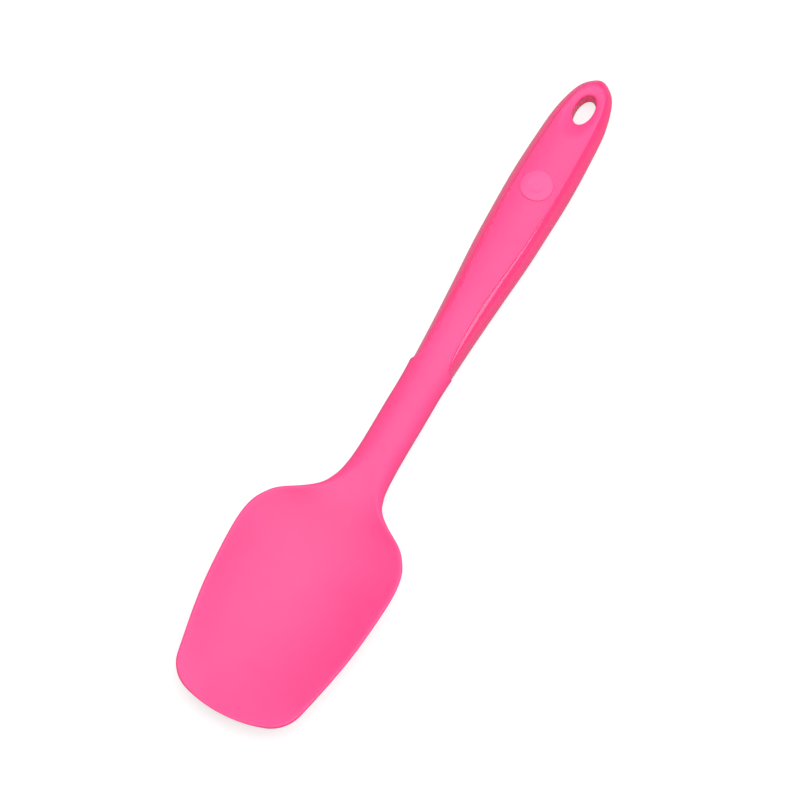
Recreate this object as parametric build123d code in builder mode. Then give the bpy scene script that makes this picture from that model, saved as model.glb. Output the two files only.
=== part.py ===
from build123d import *
from math import sqrt
import os

os.makedirs("parts", exist_ok=True)

# Lengths are in millimetres. The spatula lies on its back: X runs across it,
# Y runs towards the hanging end, and Z rises from the table to the front face.
# Places along it are distances from the hanging end.

# Whole object
overall_length = 280.0
cut_overrun = 5.0

# Grip: the handle from its hanging end to the start of the neck
grip_length = 125.5
grip_width = 23.3
grip_height = 12.3
grip_crown_radius = 20.5
grip_back_edge_rise = 0.6
grip_back_bulge = 0.3

# Neck: the oval sleeve between the grip and the head
neck_width = 16.3
neck_thickness = 10.6
neck_side_height = 5.6
neck_flank_run = 2.2
neck_edge_drop = 1.6
neck_lip = 0.25
neck_lip_length = 5.0
neck_length = 37.5

# Head: a shallow bowl with a level rim
head_width = 63.2
rim_height = 12.9
rim_thickness = 2.2
rim_round = 0.9
bowl_depth = 9.3
tip_arc_radius = 50.0
tip_corner_radius = 13.5
tip_side_clearance = 0.1

# Rigid core: a tang in the grip, a rod in the neck and a plate in the head
shell_wall = 2.4
tang_shoulder_run = 1.7
tang_rise = 0.5
tang_crown = 0.3
rod_cover = 2.3
rod_side_cover = 3.0
rod_crown = 0.6
plate_thickness = 1.4
plate_margin = 8.5
plate_end_margin = 26.0
core_side_bulge_share = 0.3
bond_rows = 4
bond_columns = 3
bond_zone_start_share = 0.3
bond_zone_width_share = 0.85
bond_hole_share = 0.385

# Front pad: the part of the skin that covers the front of the grip
pad_floor_height = 8.6
pad_floor_fall = 1.5

# Hanging hole, with a shallow dish around its front
hang_hole_place = 13.8
hang_hole_length = 13.0
hang_hole_width = 7.4
hang_dish_floor_height = 8.6
hang_dish_rise = 4.2
hang_dish_run = 9.0

# Badge: a plain raised disc on a stem
badge_place = 49.0
badge_diameter = 12.0
badge_rise = 0.5
badge_thickness = 1.8
badge_stem_diameter = 4.0
badge_stem_length = 4.7
badge_dimple_diameter = 5.2
badge_dimple_depth = 0.25


def mix(first, second, share):
    """The value at a share of the way from first to second."""
    return first + (second - first) * share


def arch_height(across, half_span, middle_height, edge_height):
    """Height, at a distance across, of the shallow arch through a middle and two level edges."""
    return mix(middle_height, edge_height, (across / half_span) ** 2)


def along(place):
    """Y of a place that is given as its distance from the hanging end."""
    return overall_length / 2 - place


def pad_floor(place):
    """Height of the sloping seat under the front pad."""
    return pad_floor_height - pad_floor_fall * (1 - place / grip_length)


def section_sketch(section):
    """Closed outline of four round arches: top, right side, bottom and left side."""
    place, top, side, bottom = section
    top_half, top_edge, top_middle = top
    side_half, side_height = side
    bottom_half, bottom_edge, bottom_middle = bottom
    with BuildSketch(Plane.XZ.offset(-along(place))) as outline:
        with BuildLine():
            ThreePointArc((-top_half, top_edge), (0, top_middle), (top_half, top_edge))
            ThreePointArc((top_half, top_edge), (side_half, side_height), (bottom_half, bottom_edge))
            ThreePointArc((bottom_half, bottom_edge), (0, bottom_middle), (-bottom_half, bottom_edge))
            ThreePointArc((-bottom_half, bottom_edge), (-side_half, side_height), (-top_half, top_edge))
        make_face()
    return outline.sketch


# Grip sections from the hanging end: place, width, front height, back height, how much of the
# width the crowned front takes, and the radius of the crown
grip_place_shares = (0.009, 0.03, 0.07, 0.13, 0.22, 0.37, 0.54, 0.74, 0.9, 1.0)
grip_width_shares = (0.27, 0.5, 0.705, 0.865, 0.95, 1.0, 0.965, 0.83, 0.735, 0.678)
grip_front_shares = (0.66, 0.755, 0.82, 0.875, 0.945, 1.0, 0.985, 0.93, 0.89, 0.87)
grip_back_shares = (0.32, 0.245, 0.18, 0.11, 0.045, 0.0, 0.0, 0.0, 0.01, 0.025)
grip_shoulder_shares = (0.45, 0.6, 0.63, 0.66, 0.675, 0.69, 0.69, 0.72, 0.76, 0.77)
grip_crown_shares = (1.0, 1.0, 1.0, 1.0, 1.0, 1.0, 1.0, 0.95, 0.8, 0.62)


def grip_section(place_share, width_share, front_share, back_share, shoulder_share, crown_share):
    """Section of the grip: crowned front, round flanks and a nearly flat back."""
    half = grip_width / 2 * width_share
    top_half = half * shoulder_share
    crown_radius = grip_crown_radius * crown_share
    top_middle = grip_height * front_share
    top_edge = top_middle - crown_radius + sqrt(crown_radius**2 - top_half**2)
    bottom_middle = grip_height * back_share - grip_back_bulge
    return (
        grip_length * place_share,
        (top_half, top_edge, top_middle),
        (half, (top_edge + bottom_middle) / 2),
        (top_half, bottom_middle + grip_back_edge_rise, bottom_middle),
    )


grip_sections = [
    grip_section(*shares)
    for shares in zip(
        grip_place_shares,
        grip_width_shares,
        grip_front_shares,
        grip_back_shares,
        grip_shoulder_shares,
        grip_crown_shares,
    )
]

# Head sections from the end of the neck: place, half width, depth of the hollow, height of the
# back, and how far the edge has turned from the neck's round side into the bowl's rim
head_place_shares = (
    0.043, 0.083, 0.125, 0.168, 0.215, 0.257, 0.315, 0.373,
    0.45, 0.538, 0.641, 0.744, 0.846, 0.932, 1.034,
)
head_width_shares = (
    0.262, 0.276, 0.302, 0.36, 0.51, 0.737, 0.918, 0.987,
    1.0, 0.985, 0.955, 0.9, 0.822, 0.757, 0.672,
)
head_hollow_shares = (
    -0.01, -0.01, 0.0, 0.04, 0.17, 0.37, 0.66, 0.86,
    0.99, 0.985, 0.9, 0.72, 0.47, 0.21, -0.13,
)
head_back_shares = (
    0.02, 0.03, 0.035, 0.035, 0.025, 0.01, -0.01, -0.02,
    -0.025, -0.02, 0.055, 0.19, 0.39, 0.6, 0.88,
)
head_rim_shares = (
    0.03, 0.1, 0.25, 0.5, 0.8, 0.96, 1.0, 1.0,
    1.0, 1.0, 1.0, 1.0, 1.0, 1.0, 1.0,
)

neck_end = grip_length + neck_length
head_length = overall_length - neck_end
neck_top = neck_side_height + neck_thickness / 2
neck_bottom = neck_side_height - neck_thickness / 2


def neck_section(place, half):
    """Oval section of the neck."""
    arch_half = half - neck_flank_run
    return (
        place,
        (arch_half, neck_top - neck_edge_drop, neck_top),
        (half, neck_side_height),
        (arch_half, neck_bottom + neck_edge_drop, neck_bottom),
    )


def head_section(place_share, width_share, hollow_share, back_share, rim_share):
    """Section of the head, from the oval neck to the full bowl with its thin rim."""
    half = head_width / 2 * width_share
    arch_half = half - mix(neck_flank_run, rim_round, rim_share)
    top_edge = mix(neck_top - neck_edge_drop, rim_height, rim_share)
    bottom_edge = mix(neck_bottom + neck_edge_drop, rim_height - rim_thickness, rim_share)
    return (
        neck_end + head_length * place_share,
        (arch_half, top_edge, mix(neck_top, rim_height - bowl_depth, hollow_share)),
        (half, mix(neck_side_height, rim_height - rim_thickness / 2, rim_share)),
        (arch_half, bottom_edge, rim_height * back_share),
    )


neck_sections = [
    neck_section(grip_length, neck_width / 2 + neck_lip),
    neck_section(grip_length + neck_lip_length, neck_width / 2),
    neck_section(grip_length + neck_length / 2, neck_width / 2),
    neck_section(neck_end, neck_width / 2),
]
head_sections = [
    head_section(*shares)
    for shares in zip(
        head_place_shares, head_width_shares, head_hollow_shares, head_back_shares, head_rim_shares
    )
]


# Outer form of the grip, closed to a round nose and cut flat where it lies on the table
nose_height = (grip_sections[0][1][1] + grip_sections[0][3][1]) / 2
with BuildPart() as grip_form:
    loft(
        sections=[Vertex(0, along(0), nose_height)]
        + [section_sketch(section) for section in grip_sections]
    )
    split(bisect_by=Plane.XY, keep=Keep.TOP)

# Plan of the head's tip: a gentle arc with round corners between the tapering sides, whose lines
# run on up beside the head so that the corners have room
tip_arc_y = along(overall_length - tip_arc_radius)
taper_start_half, taper_start_y = head_sections[-3][2][0], along(head_sections[-3][0])
taper_end_half, taper_end_y = head_sections[-1][2][0], along(head_sections[-1][0])
taper_slope = (taper_start_half - taper_end_half) / (taper_start_y - taper_end_y)
taper_line = [
    (taper_start_half + taper_slope * (line_y - taper_start_y) + tip_side_clearance, line_y)
    for line_y in (tip_arc_y, taper_end_y)
]
with BuildSketch() as tip_plan:
    with BuildLine():
        Polyline(*taper_line, *[(-across, line_y) for across, line_y in taper_line[::-1]], close=True)
    make_face()
    with Locations((0, tip_arc_y)):
        Circle(tip_arc_radius, mode=Mode.INTERSECT)
    fillet(tip_plan.vertices().sort_by(Axis.Y)[:2], radius=tip_corner_radius)

# Outer form of the neck and head, trimmed to the tip's plan and cut flat under the bowl
with BuildPart() as head_form:
    loft(sections=[section_sketch(section) for section in neck_sections + head_sections])
    with BuildSketch():
        with Locations((0, tip_arc_y)):
            Rectangle(
                head_width + 2 * cut_overrun,
                tip_arc_radius + 2 * cut_overrun,
                align=(Align.CENTER, Align.MAX),
            )
        add(tip_plan.sketch, mode=Mode.SUBTRACT)
    extrude(amount=rim_height + cut_overrun, mode=Mode.SUBTRACT)
    split(bisect_by=Plane.XY, keep=Keep.TOP)

# Badge: its front follows the grip's crown, a little higher
badge_seat_height = grip_height + badge_rise - badge_thickness
with BuildPart() as badge:
    with BuildSketch(Plane.XY.offset(badge_seat_height)):
        with Locations((0, along(badge_place))):
            Circle(badge_diameter / 2)
    extrude(amount=badge_thickness)
    with Locations((0, along(badge_place), grip_height + badge_rise - grip_crown_radius)):
        Cylinder(grip_crown_radius, badge_diameter + cut_overrun, rotation=(90, 0, 0), mode=Mode.INTERSECT)
    with BuildSketch(Plane.XY.offset(badge_seat_height)):
        with Locations((0, along(badge_place))):
            Circle(badge_stem_diameter / 2)
    extrude(amount=-badge_stem_length)
    with BuildSketch(Plane.XY.offset(grip_height + badge_rise - badge_dimple_depth)):
        with Locations((0, along(badge_place))):
            Circle(badge_dimple_diameter / 2)
    extrude(amount=badge_rise, mode=Mode.SUBTRACT)
badge.part.label = "badge"
export_step(badge.part, "parts/badge.step")


def tang_section(section):
    """Section of the core's tang, inside the grip's shell and just above the pad's seat."""
    place, top, side, bottom = section
    half = side[0] - shell_wall
    shoulder = pad_floor(place) + tang_rise
    base = bottom[2] + shell_wall
    return (
        place,
        (half - tang_shoulder_run, shoulder, shoulder + tang_crown),
        (half, (shoulder + base) / 2),
        (half - tang_shoulder_run, base + tang_crown, base),
    )


def core_section(section, rim_share):
    """Section of the core halfway between the front and the back of the neck's or head's silicone."""
    place, top, side, bottom = section
    thickness = mix(neck_thickness - 2 * (rod_cover + rod_crown), plate_thickness, rim_share)
    half = side[0] - mix(rod_side_cover, plate_margin, rim_share)
    arch_half = half - thickness * core_side_bulge_share
    edge_height = (
        arch_height(arch_half, top[0], top[2], top[1])
        + arch_height(arch_half, bottom[0], bottom[2], bottom[1])
    ) / 2
    middle_height = (top[2] + bottom[2]) / 2
    middle_half_thickness = thickness / 2 + mix(rod_crown, 0, rim_share)
    return (
        place,
        (arch_half, edge_height + thickness / 2, middle_height + middle_half_thickness),
        (half, edge_height),
        (arch_half, edge_height - thickness / 2, middle_height - middle_half_thickness),
    )


tang_sections = [tang_section(section) for section in grip_sections[4:]]
rod_sections = [core_section(section, 0) for section in neck_sections]
plate_sections = [
    core_section(section, rim_share) for section, rim_share in zip(head_sections, head_rim_shares)
]

# Zone of the plate that has holes, and their spacing and size from the room in it
bond_zone_start = neck_end + head_length * bond_zone_start_share
bond_zone_end = overall_length - plate_end_margin
bond_row_pitch = (bond_zone_end - bond_zone_start) / bond_rows
bond_column_pitch = (head_width - 2 * plate_margin) * bond_zone_width_share / bond_columns
bond_hole_diameter = bond_hole_share * min(bond_row_pitch, bond_column_pitch)

# Rigid core, with holes in its plate that the silicone grows through
with BuildPart() as core:
    loft(sections=[section_sketch(section) for section in tang_sections])
    loft(sections=[section_sketch(section) for section in rod_sections + plate_sections])
    with BuildSketch():
        with Locations((0, along(bond_zone_end))):
            Rectangle(head_width, head_length, align=(Align.CENTER, Align.MAX))
        with Locations((0, along((bond_zone_start + bond_zone_end) / 2))):
            with GridLocations(bond_column_pitch, bond_row_pitch, bond_columns, bond_rows):
                Circle(bond_hole_diameter / 2)
    extrude(amount=rim_height + cut_overrun, mode=Mode.SUBTRACT)
    add(badge.part, mode=Mode.SUBTRACT)
core.part.label = "core"
export_step(core.part, "parts/core.step")

# Plan of the front pad: its edge is the crease, which draws in and then turns out to the flank
pad_place_shares = (
    0.024, 0.032, 0.064, 0.116, 0.191, 0.359, 0.526, 0.693, 0.797, 0.876, 0.948, 0.988, 1.016
)
pad_half_shares = (
    0.0, 0.275, 0.464, 0.575, 0.648, 0.691, 0.652, 0.532, 0.446, 0.429, 0.472, 0.567, 0.773
)
right_crease = [
    (grip_width / 2 * half_share, along(grip_length * place_share))
    for half_share, place_share in zip(pad_half_shares, pad_place_shares)
]
left_crease = [(-across, height) for across, height in right_crease[:0:-1]]
with BuildSketch() as pad_plan:
    with BuildLine():
        Spline(*left_crease, *right_crease)
        Line(right_crease[-1], left_crease[0])
    make_face()

# Room that the front pad takes out of the grip, above its sloping seat
with BuildPart() as pad_room:
    add(pad_plan.sketch)
    extrude(amount=grip_height + cut_overrun)
    with BuildSketch(Plane.YZ):
        with BuildLine():
            Polyline(
                (along(0), pad_floor(0)),
                (along(grip_length + cut_overrun), pad_floor(grip_length + cut_overrun)),
                (along(grip_length + cut_overrun), grip_height + cut_overrun),
                (along(0), grip_height + cut_overrun),
                close=True,
            )
        make_face()
    extrude(amount=grip_width, both=True, mode=Mode.INTERSECT)

# Hanging hole and the dish around its front
with BuildPart() as hang_cut:
    with BuildSketch():
        with Locations((0, along(hang_hole_place))):
            Ellipse(hang_hole_width / 2, hang_hole_length / 2)
    extrude(amount=grip_height)
    with BuildSketch(Plane.XY.offset(hang_dish_floor_height)) as dish_floor:
        with Locations((0, along(hang_hole_place))):
            Ellipse(hang_hole_width / 2, hang_hole_length / 2)
    with BuildSketch(Plane.XY.offset(hang_dish_floor_height + hang_dish_rise)) as dish_top:
        with Locations((0, along(hang_hole_place))):
            Ellipse(hang_hole_width / 2 + hang_dish_run, hang_hole_length / 2 + hang_dish_run)
    loft()

# Back shell of the grip
with BuildPart() as grip_shell:
    add(grip_form.part)
    add(pad_room.part, mode=Mode.SUBTRACT)
    add(core.part, mode=Mode.SUBTRACT)
    add(badge.part, mode=Mode.SUBTRACT)
    add(hang_cut.part, mode=Mode.SUBTRACT)
grip_shell.part.label = "grip_shell"
export_step(grip_shell.part, "parts/grip_shell.step")

# Silicone skin: head, neck sleeve and front pad in one moulding
with BuildPart() as silicone_skin:
    add(grip_form.part)
    add(pad_room.part, mode=Mode.INTERSECT)
    add(head_form.part)
    add(core.part, mode=Mode.SUBTRACT)
    add(badge.part, mode=Mode.SUBTRACT)
    add(hang_cut.part, mode=Mode.SUBTRACT)
silicone_skin.part.label = "silicone_skin"
export_step(silicone_skin.part, "parts/silicone_skin.step")
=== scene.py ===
from bisect import bisect_right
from math import atan2, cos, hypot, pi, sin, sqrt

import bmesh
import bpy
import numpy as np
from mathutils import Matrix, Vector


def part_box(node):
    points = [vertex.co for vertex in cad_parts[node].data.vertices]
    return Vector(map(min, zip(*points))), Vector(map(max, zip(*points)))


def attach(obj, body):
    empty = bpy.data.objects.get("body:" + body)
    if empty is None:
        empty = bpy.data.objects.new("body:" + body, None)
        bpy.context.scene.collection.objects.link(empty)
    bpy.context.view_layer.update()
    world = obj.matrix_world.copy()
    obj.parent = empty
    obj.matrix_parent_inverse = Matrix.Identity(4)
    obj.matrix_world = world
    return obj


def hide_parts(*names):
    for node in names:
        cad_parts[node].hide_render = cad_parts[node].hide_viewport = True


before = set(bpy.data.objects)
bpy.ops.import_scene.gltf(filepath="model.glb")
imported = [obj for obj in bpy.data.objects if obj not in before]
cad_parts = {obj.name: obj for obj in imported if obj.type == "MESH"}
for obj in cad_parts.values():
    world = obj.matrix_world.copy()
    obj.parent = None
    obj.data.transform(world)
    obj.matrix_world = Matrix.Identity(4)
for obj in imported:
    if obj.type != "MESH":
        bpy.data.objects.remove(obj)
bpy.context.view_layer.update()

# Silicone body: the bowl, the oval neck and the satin front of the grip. It is pink platinum
# silicone, moulded in one shot over the rigid core, and it holds on to the core through the
# holes in the core's plate. Its front face ends in a fine crease along both flanks of the grip.

# Lengths are in millimetres, and a place is a distance from the hanging end
MM = 0.001
hanging_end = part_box("grip_shell")[1].y
overall_length = (hanging_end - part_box("silicone_skin")[0].y) / MM
grip_length = 127.0
neck_half = 8.15
neck_lip_half = 8.4
neck_top = 10.9
neck_bottom = 0.3
neck_roundness = 2.13
neck_blend_start = 108.0

rim_height = 12.85
rim_edge_bottom = 10.7
rim_round = 0.95
rim_ridge_rise = 0.1
rim_ridge_blend = 0.9
bowl_floor = 3.6
least_wall = 0.6
least_reach = 1.0

tip_arc_radius = 50.0
tip_corner_radius = 13.5
tip_taper_start = 261.98
tip_taper_half = 26.08
tip_taper_slope = 0.2155
tip_patch_start = 250.0

hole_place = 13.6
hole_half_width = 3.48
hole_half_length = 6.1
hole_edge_round = 0.6
dish_floor = 8.6
dish_slope = 0.467
dish_blend = 1.1
end_patch_place = 30.0

crease_start = 3.0
crease_opening_start = 42.0
crease_opening_end = 66.0
crease_closing_start = 122.5
crease_closing_end = 126.0
crease_roll = 0.32
crease_wall_lean = 0.1
crease_lean_run = 5.0
flare_start = 123.0
flare_power = 6

pad_seat_height = 7.1
pad_seat_rise = 1.5
pad_over_core = 0.85
pad_over_core_start = 23.0
pad_over_core_end = 28.0
pad_edge_depth = 0.8

# Limits that keep the formulas clear of a division by zero, and the step that slopes are taken over
negligible = 1e-3
least_slope = 1e-6
slope_step = 0.05


def mix(first, second, share):
    """The value at a share of the way from first to second."""
    return first + (second - first) * share


def ease(value, start, end):
    """Rises smoothly from 0 at start to 1 at end."""
    share = min(max((value - start) / (end - start), 0.0), 1.0)
    return share * share * (3 - 2 * share)


def softer(first, second, blend):
    """The lower of two heights, with the corner between them rounded over the blend."""
    if blend < negligible:
        return min(first, second)
    share = min(max(0.5 + 0.5 * (second - first) / blend, 0.0), 1.0)
    return mix(second, first, share) - blend * share * (1 - share)


def rounded(distance, run, power=2.0):
    """Share of the full height that a rounded edge has reached at a distance from the outline."""
    share = min(max(distance / run, 0.0), 1.0)
    return (1 - (1 - share) ** power) ** (1 / power)


def fair_curve(places, values):
    """Natural spline through the values at their places, as a function of the place."""
    count = len(places)
    system, loads = np.eye(count), np.zeros(count)
    for i in range(1, count - 1):
        before, after = places[i] - places[i - 1], places[i + 1] - places[i]
        system[i, i - 1:i + 2] = before, 2 * (before + after), after
        rise_after = (values[i + 1] - values[i]) / after
        rise_before = (values[i] - values[i - 1]) / before
        loads[i] = 6 * (rise_after - rise_before)
    bend = np.linalg.solve(system, loads)

    def at(place):
        i = min(max(bisect_right(places, place) - 1, 0), count - 2)
        span = places[i + 1] - places[i]
        far = min(max((place - places[i]) / span, 0.0), 1.0)
        near = 1 - far
        bow = (near**3 - near) * bend[i] + (far**3 - far) * bend[i + 1]
        return float(near * values[i] + far * values[i + 1] + bow * span**2 / 6)

    return at


def point(across, place, height):
    """Point of the spatula in metres."""
    return Vector((across * MM, hanging_end - place * MM, height * MM))


# The grip: half widths, squared so that the outline closes to a round end, the heights of its
# crown and of the widest part of its flanks, and how its front is crowned and rounded
grip_half_squared = fair_curve(
    (0, 1.1, 3.4, 8, 12.5, 17, 26, 35, 46, 60, 74, 87, 101, 114, 125.5),
    (0, 8.4, 30.3, 62.4, 84.6, 102, 118.8, 128.8, 135.7, 130, 119.9, 102, 83.7, 70.6, 62.4),
)
grip_front = fair_curve(
    (0, 3.8, 8.8, 16.3, 27.6, 46.4, 67.8, 92.9, 113, 125.5),
    (9.1, 9.35, 10.05, 10.76, 11.6, 12.3, 12.1, 11.45, 10.95, 10.7),
)
grip_side = fair_curve(
    (0, 4, 8.8, 16.3, 27.6, 67.8, 92.9, 113, 125.5),
    (5.85, 5.8, 5.67, 5.35, 5.2, 5.15, 4.95, 4.7, 4.6),
)
crown_radius = fair_curve((0, 67.8, 92.9, 113, 125.5), (20.5, 20.5, 19.5, 16.4, 12.7))
flank_run = fair_curve((0, 27, 46, 68, 93, 113, 125.5), (4.2, 4.4, 4.5, 4.3, 4.3, 3.2, 2.3))

# Half widths of the crease, squared, before it turns out to the flank at the neck
crease_half_squared = fair_curve(
    (3, 4, 8, 14.6, 24, 34, 46, 57, 68, 77, 86, 96, 105, 110, 116, 121, 127),
    (0, 10.2, 29.2, 44.9, 57, 63.2, 64.8, 62.4, 54.8, 46.2, 37.2, 28.1, 25, 25, 27, 31.4, 40),
)

# Neck and head: half widths, the turn from the neck's oval to the bowl's rim, how deep the hollow
# is as a share of the whole, and the height of the back
body_half = fair_curve(
    (127, 132, 144, 158, 163.5, 170.8, 175.8, 178.4, 180.8, 183.5, 186.3, 188.9, 191.5, 193.9,
     196.1, 198.4, 200.6, 202.7, 205, 209.3, 215.8, 226, 236, 243, 249.5, 256, 262, 284),
    (8.4, 8.15, 8.15, 8.15, 8.2, 8.5, 9.05, 9.55, 10.3, 11.35, 13.3, 16.1, 19.7, 23.3,
     25.8, 27.6, 29.0, 30.0, 30.7, 31.4, 31.6, 31.15, 30.35, 29.5, 28.45, 27.3, 26.08, 21.34),
)
rim_turn = fair_curve(
    (125.5, 163, 168, 172.7, 177.6, 182.7, 188.2, 193.1, 199.9, 280),
    (0.0, 0.0, 0.03, 0.1, 0.25, 0.5, 0.8, 0.96, 1.0, 1.0),
)
hollow = fair_curve(
    (125.5, 163, 172.7, 177.6, 182.7, 188.2, 193.1, 199.9, 206.6, 215.7, 225.9, 238, 250, 262,
     272, 284),
    (0.0, 0.0, 0.0, 0.005, 0.04, 0.17, 0.37, 0.66, 0.86, 0.99, 0.985, 0.9, 0.72, 0.47,
     0.21, -0.13),
)
back_height = fair_curve(
    (125.5, 163, 177.6, 193.1, 199.9, 225.9, 238, 250, 262, 272, 284),
    (0.3, 0.3, 0.3, 0.1, 0.0, 0.0, 0.7, 2.45, 5.0, 7.7, 11.3),
)


def grip_half(place):
    return sqrt(max(grip_half_squared(place), 0.0))


def slope(curve, place):
    """How fast a curve rises along the spatula."""
    return (curve(place + slope_step) - curve(place - slope_step)) / (2 * slope_step)


def grip_edge_distance(across, place):
    """Distance inwards from the grip's outline, seen from the front."""
    inside = max(grip_half_squared(place) - across**2, 0.0)
    return inside / max(hypot(slope(grip_half_squared, place), 2 * across), least_slope)


def hole_radius(turn):
    """Radius of the oval hanging hole at a turn from the direction of the head."""
    return 1 / hypot(sin(turn) / hole_half_width, cos(turn) / hole_half_length)


def beyond_hole(across, place):
    """Distance outwards from the edge of the hanging hole."""
    turn = atan2(across, place - hole_place)
    return max(hypot(across, place - hole_place) - hole_radius(turn), 0.0)


def grip_front_height(across, place):
    """Front of the grip: crowned, rounded down to the flank, with a soft dish around the hole."""
    radius, side = crown_radius(place), grip_side(place)
    crown = grip_front(place) - radius + sqrt(radius**2 - across**2)
    height = side + (crown - side) * rounded(grip_edge_distance(across, place), flank_run(place))
    if place < end_patch_place:
        beyond = beyond_hole(across, place)
        height = softer(height, dish_floor + dish_slope * beyond, dish_blend)
        height -= hole_edge_round * (1 - rounded(beyond, hole_edge_round))
    return height


# Corners of the tip: circles that touch the tapering sides and the tip's gentle arc
tip_arc_place = overall_length - tip_arc_radius
taper_lean = hypot(1.0, tip_taper_slope)
corner_reach = tip_arc_radius - tip_corner_radius
offset_half = tip_taper_half - tip_corner_radius * taper_lean
offset_at_arc = offset_half + tip_taper_slope * (tip_taper_start - tip_arc_place)
corner_run = (
    offset_at_arc * tip_taper_slope
    + sqrt(corner_reach**2 * taper_lean**2 - offset_at_arc**2)
) / taper_lean**2
corner_place = tip_arc_place + corner_run
corner_half = offset_at_arc - tip_taper_slope * corner_run
side_turn = atan2(tip_taper_slope, 1.0)
arc_turn = atan2(corner_run, corner_half)
corner_length = tip_corner_radius * (arc_turn - side_turn)
arc_length = tip_arc_radius * (pi / 2 - arc_turn)


def tip_outline(share):
    """Point of the tip's outline, from -1 at its left end through 0 at the middle to 1."""
    length = abs(share) * (arc_length + corner_length)
    if length < arc_length:
        turn = pi / 2 - length / tip_arc_radius
        across = tip_arc_radius * cos(turn)
        place = tip_arc_place + tip_arc_radius * sin(turn)
    else:
        turn = arc_turn - (length - arc_length) / tip_corner_radius
        across = corner_half + tip_corner_radius * cos(turn)
        place = corner_place + tip_corner_radius * sin(turn)
    return (across if share > 0 else -across), place


def body_edge_distance(across, place):
    """Distance inwards from the outline of the neck and head, seen from the front."""
    across = abs(across)
    beside = (across - corner_half) * cos(side_turn) + (place - corner_place) * sin(side_turn)
    along_side = (place - corner_place) * cos(side_turn) - (across - corner_half) * sin(side_turn)
    if along_side > 0 and across * corner_run > corner_half * (place - tip_arc_place):
        return tip_corner_radius - hypot(across - corner_half, place - corner_place)
    if along_side > 0 or (place > corner_place and beside < 0):
        return tip_arc_radius - hypot(across, place - tip_arc_place)
    return (body_half(place) - across) / hypot(1.0, slope(body_half, place))


def body_heights(across, place):
    """Front and back height of the neck and head."""
    turn = min(max(rim_turn(place), 0.0), 1.0)
    reach = (across / max(body_half(place) - rim_round, least_reach)) ** 2
    edge_top = mix(neck_top, rim_height, turn)
    edge_bottom = mix(neck_bottom, rim_edge_bottom, turn)
    top = softer(
        mix(mix(neck_top, bowl_floor, hollow(place)), edge_top, reach),
        edge_top + rim_ridge_rise * turn,
        rim_ridge_blend * turn,
    )
    base = min(mix(max(back_height(place), 0.0), edge_bottom, reach), top - least_wall)
    run = mix(neck_half, rim_round, sqrt(turn))
    power = mix(neck_roundness, 2.0, turn)
    fullness = rounded(body_edge_distance(across, place), run, power)
    middle, thickness = (top + base) / 2, (top - base) / 2
    return middle + thickness * fullness, middle - thickness * fullness


def body_front_height(across, place):
    return body_heights(across, place)[0]


def body_back_height(across, place):
    return body_heights(across, place)[1]


def crease_half(place):
    """Half width of the front pad, from its round end to where it meets the neck's side."""
    base = sqrt(max(crease_half_squared(place), 0.0))
    share = min(max((place - flare_start) / (grip_length - flare_start), 0.0), 1.0)
    return mix(base, neck_lip_half, share**flare_power)


def crease_strength(place):
    """How open the crease is: closed near the hanging end, open lower down, closed at the neck."""
    opening = ease(place, crease_opening_start, crease_opening_end)
    return opening * (1 - ease(place, crease_closing_start, crease_closing_end))


def pad_front_height(across, place):
    """Front of the pad, which runs without a step into the neck and rolls down at the crease."""
    height = grip_front_height(across, place)
    to_neck = ease(place, neck_blend_start, grip_length)
    if to_neck > 0:
        height = mix(height, body_front_height(across, grip_length), to_neck)
    roll = crease_roll * crease_strength(place)
    if roll > negligible:
        height -= roll * (1 - rounded(crease_half(place) - abs(across), roll))
    return height


def pad_seat(place):
    """Height of the underside of the pad, which steps up over the core."""
    seat = pad_seat_height + pad_seat_rise * place / grip_length
    seat += pad_over_core * ease(place, pad_over_core_start, pad_over_core_end)
    return min(seat, pad_front_height(crease_half(place), place) - pad_edge_depth)


def crease_lean(place, share):
    """How far the pad's edge has drawn in below the crease, at a share of its depth."""
    lean_end = end_patch_place + crease_lean_run
    return crease_wall_lean * share * ease(place, end_patch_place, lean_end)


def pad_floor_half(place):
    return crease_half(place) - crease_lean(place, 1)


def steps(start, end, count):
    """Evenly spaced values from start to end."""
    return [mix(start, end, i / count) for i in range(count + 1)]


def spread(share):
    """Share across a section, from -1 to 1, with steps that close up towards the edges."""
    return sin(share * pi / 2)


def between(first, second, share):
    """Point in plan at a share of the way from first to second."""
    return mix(first[0], second[0], share), mix(first[1], second[1], share)


# Loops in plan at the hanging end. Steps -1 to 1 cross the grip, and 1 to 3 go round its end.
def end_loop(step, half, start):
    """Loop whose half width is a function of the place, and whose round end is at start."""
    if step <= 1:
        return spread(step) * half(end_patch_place), end_patch_place
    place = start + (end_patch_place - start) * (2 - step) ** 2
    return (1 if step < 2 else -1) * half(place), place


def outline_loop(step):
    return end_loop(step, grip_half, 0.0)


def crease_loop(step):
    return end_loop(step, crease_half, crease_start)


def hole_loop(step):
    """Point of the hole's edge that faces the same step of the outline."""
    across, place = outline_loop(step)
    turn = atan2(across, place - hole_place)
    return hole_radius(turn) * sin(turn), hole_place + hole_radius(turn) * cos(turn)


def tip_start(step):
    """The last straight row of the head, where the tip's own rows begin."""
    return spread(step) * body_half(tip_patch_start), tip_patch_start


def tip_end(step):
    return tip_outline(spread(step))


def level(height):
    """A height that depends on the place alone, for use where others change across too."""
    return lambda across, place: height(place)


def sheet_between(inner, outer, height):
    """Sheet from one loop to another, at the height that belongs to each point in plan."""
    def corner(step, share):
        across, place = between(inner(step), outer(step), share)
        return point(across, place, height(across, place))

    return corner


def sheet_of_rows(half, height):
    """Sheet whose rows run across the spatula, out to a half width on each side."""
    def corner(step, place):
        across = spread(step) * half(place)
        return point(across, place, height(across, place))

    return corner


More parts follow.
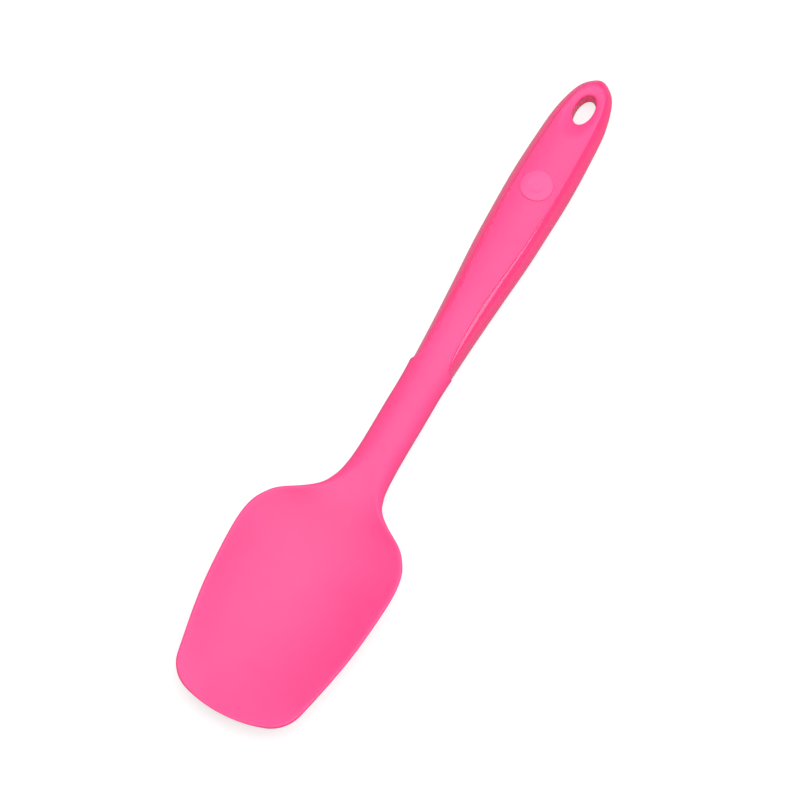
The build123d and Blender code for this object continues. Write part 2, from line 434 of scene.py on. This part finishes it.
def wall_along(loop, top, bottom):
    """Wall along a loop, from one height to another."""
    def corner(step, share):
        across, place = loop(step)
        return point(across, place, mix(top(across, place), bottom(across, place), share))

    return corner


def body_front_row(step, place):
    """Front of the pad and then of the neck and head, in one run of rows."""
    if place < grip_length:
        return sheet_of_rows(crease_half, pad_front_height)(step, place)
    return sheet_of_rows(body_half, body_front_height)(step, place)


def crease_wall(side, place, share):
    """Edge of the pad below the crease on one side, leaning in a little."""
    half = crease_half(place)
    height = mix(pad_front_height(half, place), pad_seat(place), share)
    return point(side * (half - crease_lean(place, share)), place, height)


def lay(bm, across_steps, along_steps, corner):
    """Sheet of quads whose corners are corner(a, b) at every step across and along."""
    columns, rows = len(across_steps) - 1, len(along_steps) - 1
    sheet = bmesh.ops.create_grid(bm, x_segments=columns, y_segments=rows, size=0.5)
    for vert in sheet["verts"]:
        column = round((vert.co.x + 0.5) * columns)
        row = round((vert.co.y + 0.5) * rows)
        vert.co = corner(across_steps[column], along_steps[row])


weld_distance = 0.002


def join_sheets(bm):
    """Joins the sheets to one skin and closes a flat end face that they leave open."""
    bmesh.ops.remove_doubles(bm, verts=bm.verts, dist=weld_distance * MM)
    end_edges = [edge for edge in bm.edges if len(edge.link_faces) == 1]
    bmesh.ops.holes_fill(bm, edges=end_edges, sides=0)
    bmesh.ops.dissolve_degenerate(bm, dist=weld_distance / 2 * MM, edges=bm.edges)


# An edge where the surface turns by more than this angle, in radians, is shaded sharp
sharp_turn = 0.7


def finish_piece(bm, name):
    """Turns the faces outwards and shades them smooth, apart from sharp edges."""
    bmesh.ops.recalc_face_normals(bm, faces=bm.faces)
    for face in bm.faces:
        face.smooth = True
    for edge in bm.edges:
        edge.smooth = edge.calc_face_angle(pi) < sharp_turn
    mesh = bpy.data.meshes.new(name)
    bm.to_mesh(mesh)
    bm.free()
    piece = bpy.data.objects.new(name, mesh)
    bpy.context.scene.collection.objects.link(piece)
    return piece


# Rows lie closer together at the grip's lower end and over the shoulders of the head
lower_grip_start = 119.0
shoulder_start = 176.0
shoulder_end = 206.0
grip_row_count = 89
lower_grip_row_count = 26
neck_row_count = 50
shoulder_row_count = 48
head_row_count = 44
across_count = 96
round_count = 96
ring_count = 40
crease_wall_count = 3
pad_hole_wall_count = 6

across_steps = steps(-1, 1, across_count)
round_end_steps = steps(1, 3, round_count)
end_loop_steps = across_steps + round_end_steps[1:]
ring_steps = [(1 - cos(pi * share)) / 2 for share in steps(0, 1, ring_count)]
tip_steps = [spread(share) for share in steps(0, 1, ring_count)]
wall_steps = steps(0, 1, crease_wall_count)
grip_rows = steps(end_patch_place, lower_grip_start, grip_row_count)
grip_rows += steps(lower_grip_start, grip_length, lower_grip_row_count)[1:]
body_rows = steps(grip_length, shoulder_start, neck_row_count)
body_rows += steps(shoulder_start, shoulder_end, shoulder_row_count)[1:]
body_rows += steps(shoulder_end, tip_patch_start, head_row_count)[1:]

pad_floor = level(pad_seat)
bm = bmesh.new()
lay(bm, end_loop_steps, ring_steps, sheet_between(hole_loop, crease_loop, pad_front_height))
lay(bm, end_loop_steps, ring_steps, sheet_between(hole_loop, crease_loop, pad_floor))
lay(
    bm, end_loop_steps, steps(0, 1, pad_hole_wall_count),
    wall_along(hole_loop, pad_front_height, pad_floor),
)
lay(bm, round_end_steps, wall_steps, wall_along(crease_loop, pad_front_height, pad_floor))
lay(bm, across_steps, grip_rows + body_rows[1:], body_front_row)
lay(bm, across_steps, grip_rows, sheet_of_rows(pad_floor_half, pad_floor))
for side in (-1, 1):
    lay(bm, grip_rows, wall_steps, lambda place, share: crease_wall(side, place, share))
lay(bm, across_steps, body_rows, sheet_of_rows(body_half, body_back_height))
lay(bm, across_steps, tip_steps, sheet_between(tip_start, tip_end, body_front_height))
lay(bm, across_steps, tip_steps, sheet_between(tip_start, tip_end, body_back_height))
join_sheets(bm)
silicone_body = finish_piece(bm, "silicone_body")
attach(silicone_body, "root")
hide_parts("silicone_skin")


def colour(hex_code):
    """Linear colour of an sRGB hex value."""
    def linear(channel):
        return channel / 12.92 if channel <= 0.04045 else ((channel + 0.055) / 1.055) ** 2.4

    channels = [int(hex_code[i:i + 2], 16) / 255 for i in (1, 3, 5)]
    return (*[linear(channel) for channel in channels], 1.0)


def add_node(material, kind, inputs, **settings):
    """Adds a node with its settings, and its inputs as values or as links from other sockets."""
    node = material.node_tree.nodes.new(kind)
    for name, value in settings.items():
        setattr(node, name, value)
    for name, value in inputs.items():
        if isinstance(value, bpy.types.NodeSocket):
            material.node_tree.links.new(value, node.inputs[name])
        else:
            node.inputs[name].default_value = value
    return node


def new_material(name):
    material = bpy.data.materials.new(name)
    material.use_nodes = True
    material.node_tree.nodes.clear()
    return material


def per_metre(size_mm):
    """Noise scale for features of a real size in millimetres."""
    return 1 / (size_mm * MM)


# Moulded platinum silicone from a finely blasted tool: satin, so that a lamp leaves a broad soft
# veil on it, with a faint unevenness in the pigment, and a little light that travels inside it.
# The blasted grain is far finer than a pixel, so it is drawn half a millimetre wide.
silicone_deep = "#FF4485"
silicone_light = "#FF4E8F"
silicone_ior = 1.47
silicone_roughness = (0.48, 0.56)
pigment_cloud = 24.0
blasted_grain = 0.5
blasted_depth = 0.006
blasted_strength = 0.25
plain_detail = 2.0
pink_glow = {
    "Subsurface Weight": 0.3,
    "Subsurface Radius": (1.0, 0.3, 0.4),
    "Subsurface Scale": 2.0 * MM,
}
silicone = new_material("moulded_satin_silicone")
coordinates = add_node(silicone, "ShaderNodeTexCoord", {})
pigment = add_node(
    silicone, "ShaderNodeTexNoise",
    {
        "Vector": coordinates.outputs["Object"],
        "Scale": per_metre(pigment_cloud),
        "Detail": plain_detail,
    },
)
grain = add_node(
    silicone, "ShaderNodeTexNoise",
    {
        "Vector": coordinates.outputs["Object"],
        "Scale": per_metre(blasted_grain),
        "Detail": plain_detail,
    },
)
shades = {"Color1": colour(silicone_deep), "Color2": colour(silicone_light)}
tint = add_node(silicone, "ShaderNodeMixRGB", {"Fac": pigment.outputs["Fac"], **shades})
sheen = add_node(
    silicone, "ShaderNodeMapRange",
    {
        "Value": grain.outputs["Fac"],
        "To Min": silicone_roughness[0],
        "To Max": silicone_roughness[1],
    },
)
relief = add_node(
    silicone, "ShaderNodeBump",
    {
        "Height": grain.outputs["Fac"],
        "Strength": blasted_strength,
        "Distance": blasted_depth * MM,
    },
)
shader = add_node(
    silicone, "ShaderNodeBsdfPrincipled",
    {
        "Base Color": tint.outputs["Color"],
        "Roughness": sheen.outputs["Result"],
        "IOR": silicone_ior,
        **pink_glow,
        "Normal": relief.outputs["Normal"],
    },
)
add_node(silicone, "ShaderNodeOutputMaterial", {"Surface": shader.outputs["BSDF"]})
silicone_body.data.materials.append(silicone)

# Grip shell: the glossy back and flanks of the grip, a hard pink moulding that the silicone front
# sits in. It meets the front at the crease, lines the hanging hole and stops against the neck.
shell_crease_roll = 0.2
shell_seat_gap = 0.02
shell_edge_share = 0.985
crease_edge_shares = [0.0, 0.004, 0.01, 0.02, 0.035]
flank_start_share = 0.05
flank_count = 28
shell_hole_wall_count = 8
hole_back_round = 0.2
back_run = 3.5
grip_back = fair_curve(
    (0, 3.8, 8.8, 16.3, 27.6, 46.4, 60, 125.5),
    (3.1, 2.95, 2.2, 1.35, 0.55, 0.0, 0.0, 0.0),
)


def grip_back_height(across, place):
    """Back of the grip: flat where it lies on the table, rounded up to the flank."""
    side, base = grip_side(place), max(grip_back(place), 0.0)
    height = side - (side - base) * rounded(grip_edge_distance(across, place), back_run)
    if place < end_patch_place:
        height += hole_back_round * (1 - rounded(beyond_hole(across, place), hole_back_round))
    return height


def shell_start(place):
    """Half width where the shell's flank begins, at the crease."""
    return min(crease_half(place), shell_edge_share * grip_half(place))


def shell_front_height(across, place):
    """Front of the shell outside the crease, with a fine roll at its edge."""
    height = grip_front_height(across, place)
    roll = shell_crease_roll * crease_strength(place)
    if roll > negligible:
        height -= roll * (1 - rounded(abs(across) - shell_start(place), roll))
    return height


def shell_seat(place):
    """Height of the seat that the pad lies in."""
    return pad_seat(place) - shell_seat_gap


def flank(side, place, share):
    """The shell's flank on one side, from the crease out to the grip's outline."""
    across = mix(shell_start(place), grip_half(place), share)
    return point(side * across, place, shell_front_height(across, place))


def flank_wall(side, place, share):
    """Inner face of the flank on one side, from the crease down to the seat."""
    half = shell_start(place)
    height = mix(shell_front_height(half, place), shell_seat(place), share)
    return point(side * half, place, height)


flank_steps = crease_edge_shares + [
    mix(flank_start_share, 1.0, spread(share)) for share in steps(0, 1, flank_count)
]

shell_floor = level(shell_seat)
bm = bmesh.new()
lay(
    bm, round_end_steps, flank_steps,
    sheet_between(crease_loop, outline_loop, shell_front_height),
)
lay(bm, round_end_steps, wall_steps, wall_along(crease_loop, shell_front_height, shell_floor))
lay(bm, end_loop_steps, ring_steps, sheet_between(hole_loop, crease_loop, shell_floor))
lay(bm, end_loop_steps, ring_steps, sheet_between(hole_loop, outline_loop, grip_back_height))
lay(
    bm, end_loop_steps, steps(0, 1, shell_hole_wall_count),
    wall_along(hole_loop, grip_back_height, shell_floor),
)
for side in (-1, 1):
    lay(bm, grip_rows, flank_steps, lambda place, share: flank(side, place, share))
    lay(bm, grip_rows, wall_steps, lambda place, share: flank_wall(side, place, share))
lay(bm, across_steps, grip_rows, sheet_of_rows(shell_start, shell_floor))
lay(bm, across_steps, grip_rows, sheet_of_rows(grip_half, grip_back_height))
join_sheets(bm)
shell = finish_piece(bm, "grip_shell_moulding")
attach(shell, "root")
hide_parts("grip_shell")

# Hard glossy plastic from a polished tool: a clear, sharp reflection over a pink painted a little
# deeper than the silicone's as painted shade on the flanks, and a very slight waviness that bends
# the reflection
# The moulding is the same pink as the silicone; both shades here are painted deeper, as painted
# shade for its flanks
shell_painted_shade_deep = "#FF3A7C"
shell_painted_shade_pale = "#FF4286"
shell_ior = 1.6
shell_roughness = (0.12, 0.18)
shell_coat = 0.15
shell_coat_roughness = 0.08
wave_length = 14.0
wave_depth = 0.02
wave_strength = 0.3
wave_detail = 1.0
gloss = new_material("polished_moulded_plastic")
coordinates = add_node(gloss, "ShaderNodeTexCoord", {})
waviness = add_node(
    gloss, "ShaderNodeTexNoise",
    {
        "Vector": coordinates.outputs["Object"],
        "Scale": per_metre(wave_length),
        "Detail": wave_detail,
    },
)
shades = {"Color1": colour(shell_painted_shade_deep), "Color2": colour(shell_painted_shade_pale)}
tint = add_node(gloss, "ShaderNodeMixRGB", {"Fac": waviness.outputs["Fac"], **shades})
polish = add_node(
    gloss, "ShaderNodeMapRange",
    {
        "Value": waviness.outputs["Fac"],
        "To Min": shell_roughness[0],
        "To Max": shell_roughness[1],
    },
)
relief = add_node(
    gloss, "ShaderNodeBump",
    {
        "Height": waviness.outputs["Fac"],
        "Strength": wave_strength,
        "Distance": wave_depth * MM,
    },
)
shader = add_node(
    gloss, "ShaderNodeBsdfPrincipled",
    {
        "Base Color": tint.outputs["Color"],
        "Roughness": polish.outputs["Result"],
        "IOR": shell_ior,
        "Coat Weight": shell_coat,
        "Coat Roughness": shell_coat_roughness,
        **pink_glow,
        "Normal": relief.outputs["Normal"],
    },
)
add_node(gloss, "ShaderNodeOutputMaterial", {"Surface": shader.outputs["BSDF"]})
shell.data.materials.append(gloss)

# Badge: a round disc of nearly the same pink, moulded apart and pressed into the front of the
# grip on a stem. Its face follows the grip's crown, stands a little proud and has a dimple.
badge_place = 49.0
badge_half = 6.0
badge_rise = 0.5
badge_depth = 1.3
badge_edge_round = 0.3
dimple_half = 2.6
dimple_depth = 0.22
dimple_edge_run = 0.06
dimple_blend_run = 0.4
dimple_ring_shares = (0.0, 0.3, 0.6, 0.86)
face_rings = (3.6, 4.3, 5.0)
badge_turns = 96
edge_turns = 5

profile = [(share * dimple_half, badge_rise - dimple_depth) for share in dimple_ring_shares]
profile += [(dimple_half + dimple_edge_run, badge_rise - dimple_depth / 2)]
profile += [(radius, badge_rise) for radius in (dimple_half + dimple_blend_run, *face_rings)]
for turn in steps(0, pi / 2, edge_turns):
    inward, drop = badge_edge_round * (1 - sin(turn)), badge_edge_round * (1 - cos(turn))
    profile += [(badge_half - inward, badge_rise - drop)]
profile += [(badge_half, 0.0), (badge_half, -badge_depth), (0.0, -badge_depth)]

bm = bmesh.new()
rim = [bm.verts.new(Vector((radius * MM, 0, height * MM))) for radius, height in profile]
edges = [bm.edges.new(pair) for pair in zip(rim, rim[1:])]
bmesh.ops.spin(
    bm, geom=rim + edges, cent=(0, 0, 0), axis=(0, 0, 1), angle=2 * pi, steps=badge_turns,
    use_merge=True,
)
for vert in bm.verts:
    across, place = vert.co.x / MM, badge_place - vert.co.y / MM
    vert.co = point(across, place, vert.co.z / MM + grip_front_height(across, place))
join_sheets(bm)
badge = finish_piece(bm, "badge_disc")
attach(badge, "root")
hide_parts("badge")

# Matt moulded plastic, painted a shade lighter than the silicone as painted light on its flat face:
# its eroded tool gives a fine even grain, drawn a third of a millimetre wide, which is coarser than
# the real one, so that it shows
# Both shades are paler than the silicone's: painted light for the disc's face, which is the same
# pink
badge_painted_light_deep = "#FF4F8D"
badge_painted_light_pale = "#FF5997"
badge_ior = 1.5
badge_roughness = 0.55
eroded_grain = 0.35
eroded_depth = 0.008
eroded_strength = 0.4
matt = new_material("matt_moulded_plastic")
coordinates = add_node(matt, "ShaderNodeTexCoord", {})
grain = add_node(
    matt, "ShaderNodeTexNoise",
    {
        "Vector": coordinates.outputs["Object"],
        "Scale": per_metre(eroded_grain),
        "Detail": plain_detail,
    },
)
shades = {"Color1": colour(badge_painted_light_deep), "Color2": colour(badge_painted_light_pale)}
tint = add_node(matt, "ShaderNodeMixRGB", {"Fac": grain.outputs["Fac"], **shades})
relief = add_node(
    matt, "ShaderNodeBump",
    {
        "Height": grain.outputs["Fac"],
        "Strength": eroded_strength,
        "Distance": eroded_depth * MM,
    },
)
shader = add_node(
    matt, "ShaderNodeBsdfPrincipled",
    {
        "Base Color": tint.outputs["Color"],
        "Roughness": badge_roughness,
        "IOR": badge_ior,
        "Normal": relief.outputs["Normal"],
    },
)
add_node(matt, "ShaderNodeOutputMaterial", {"Surface": shader.outputs["BSDF"]})
badge.data.materials.append(matt)

# Core: the rigid bar, rod and perforated plate inside, moulded in glass-filled nylon before the
# silicone is moulded over it.

# Glass-filled nylon as moulded: off-white and dry, with flow streaks along its length
nylon_deep = "#D2CEC6"
nylon_light = "#E6E2DA"
nylon_ior = 1.53
nylon_roughness = 0.6
streak_width = 1.2
streak_stretch = (1.0, 0.15, 1.0)
streak_detail = 3.0
nylon = new_material("glass_filled_nylon")
coordinates = add_node(nylon, "ShaderNodeTexCoord", {})
stretched = add_node(
    nylon, "ShaderNodeMapping",
    {"Vector": coordinates.outputs["Object"], "Scale": streak_stretch},
)
streaks = add_node(
    nylon, "ShaderNodeTexNoise",
    {
        "Vector": stretched.outputs["Vector"],
        "Scale": per_metre(streak_width),
        "Detail": streak_detail,
    },
)
shades = {"Color1": colour(nylon_deep), "Color2": colour(nylon_light)}
tint = add_node(nylon, "ShaderNodeMixRGB", {"Fac": streaks.outputs["Fac"], **shades})
shader = add_node(
    nylon, "ShaderNodeBsdfPrincipled",
    {"Base Color": tint.outputs["Color"], "Roughness": nylon_roughness, "IOR": nylon_ior},
)
add_node(nylon, "ShaderNodeOutputMaterial", {"Surface": shader.outputs["BSDF"]})
for material_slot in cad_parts["core"].material_slots:
    material_slot.material = nylon

# Floor: a sheet of white studio paper that the spatula lies on. It is 6 metres wide, so that its
# edge lies far outside the picture, and a tenth of a millimetre below the spatula's back.
floor_half = 3.0
floor_drop = 0.1
floor_squares = 8
bm = bmesh.new()
bmesh.ops.create_grid(bm, x_segments=floor_squares, y_segments=floor_squares, size=floor_half)
bmesh.ops.translate(bm, verts=bm.verts, vec=(0, 0, -floor_drop * MM))
floor = finish_piece(bm, "floor")

# Matt pale paper with soft fibres. What the camera sees of it is lifted to white, and it keeps
# the shadow.
paper_deep = "#B4B4B4"
paper_light = "#BABABA"
paper_fibre = 3.0
paper_lift = 0.63
paper = new_material("white_studio_paper")
coordinates = add_node(paper, "ShaderNodeTexCoord", {})
fibres = add_node(
    paper, "ShaderNodeTexNoise",
    {
        "Vector": coordinates.outputs["Object"],
        "Scale": per_metre(paper_fibre),
        "Detail": plain_detail,
    },
)
shades = {"Color1": colour(paper_deep), "Color2": colour(paper_light)}
tint = add_node(paper, "ShaderNodeMixRGB", {"Fac": fibres.outputs["Fac"], **shades})
matt_side = add_node(paper, "ShaderNodeBsdfDiffuse", {"Color": tint.outputs["Color"]})
seen = add_node(paper, "ShaderNodeLightPath", {})
lift = add_node(
    paper, "ShaderNodeMath",
    {0: seen.outputs["Is Camera Ray"], 1: paper_lift},
    operation="MULTIPLY",
)
glow = add_node(paper, "ShaderNodeEmission", {"Strength": lift.outputs["Value"]})
both = add_node(
    paper, "ShaderNodeAddShader",
    {0: matt_side.outputs["BSDF"], 1: glow.outputs["Emission"]},
)
add_node(paper, "ShaderNodeOutputMaterial", {"Surface": both.outputs["Shader"]})
floor.data.materials.append(paper)

# Studio light: an even, dim white room, and a large soft lamp above the front face, a little to
# the right. The lamp's sizes are in metres.
room_white = "#FFFFFF"
room_strength = 0.3
lamp_direction = Vector((0.13, 0.02, 0.99)).normalized()
lamp_distance = 1.4
lamp_size = 2.5
lamp_radiance = 2.3

world = bpy.data.worlds.new("white_room")
bpy.context.scene.world = world
world.use_nodes = True
world.node_tree.nodes.clear()
room = add_node(
    world, "ShaderNodeBackground", {"Color": colour(room_white), "Strength": room_strength}
)
add_node(world, "ShaderNodeOutputWorld", {"Surface": room.outputs["Background"]})

# A disk of even radiance gives off pi times its area times that radiance
lamp_data = bpy.data.lights.new("soft_lamp", "AREA")
lamp_data.shape = "DISK"
lamp_data.size = lamp_size
lamp_data.energy = lamp_radiance * pi * pi * (lamp_size / 2) ** 2
lamp = bpy.data.objects.new("soft_lamp", lamp_data)
bpy.context.scene.collection.objects.link(lamp)
lamp.location = lamp_direction * lamp_distance
lamp.rotation_euler = lamp_direction.to_track_quat("Z", "Y").to_euler()
lamp.visible_camera = False

# Camera: a long lens 10 metres away, at the photograph's angle and rolled so that the spatula
# lies across the picture from the lower left to the upper right
camera_side = Vector((0.189, -0.341, 0.921)).normalized()
camera_distance = 10.0
picture_width = 283.8 * MM
sensor = 36.0
end_height = 6.1
end_in_picture = (602.6, 81.8)
picture_size = 800
head_way_in_picture = (-0.5127, 0.8586)

# The picture's right and up, turned so that the way to the head runs as in the photograph
to_head = -(Vector((0, 1, 0)) - camera_side.y * camera_side).normalized()
to_right = Vector((camera_side.z, 0, -camera_side.x)).normalized()
right = head_way_in_picture[0] * to_head + head_way_in_picture[1] * to_right
up = -head_way_in_picture[1] * to_head + head_way_in_picture[0] * to_right

# The middle of the picture, placed so that the hanging end falls on its pixel
end = point(0, 0, end_height)
pixel = picture_width / picture_size
pixel_at_end = pixel * (camera_distance - end.dot(camera_side)) / camera_distance
middle = right * (end.dot(right) - (end_in_picture[0] - picture_size / 2) * pixel_at_end)
middle += up * (end.dot(up) - (picture_size / 2 - end_in_picture[1]) * pixel_at_end)

camera_data = bpy.data.cameras.new("camera")
camera_data.sensor_width = sensor
camera_data.lens = sensor * camera_distance / picture_width
camera_data.clip_end = 2 * camera_distance
camera = bpy.data.objects.new("camera", camera_data)
bpy.context.scene.collection.objects.link(camera)
turned = Matrix((right, up, camera_side)).transposed().to_4x4()
camera.matrix_world = Matrix.Translation(middle + camera_side * camera_distance) @ turned
bpy.context.scene.camera = camera
bpy.context.scene.view_settings.view_transform = "Standard"
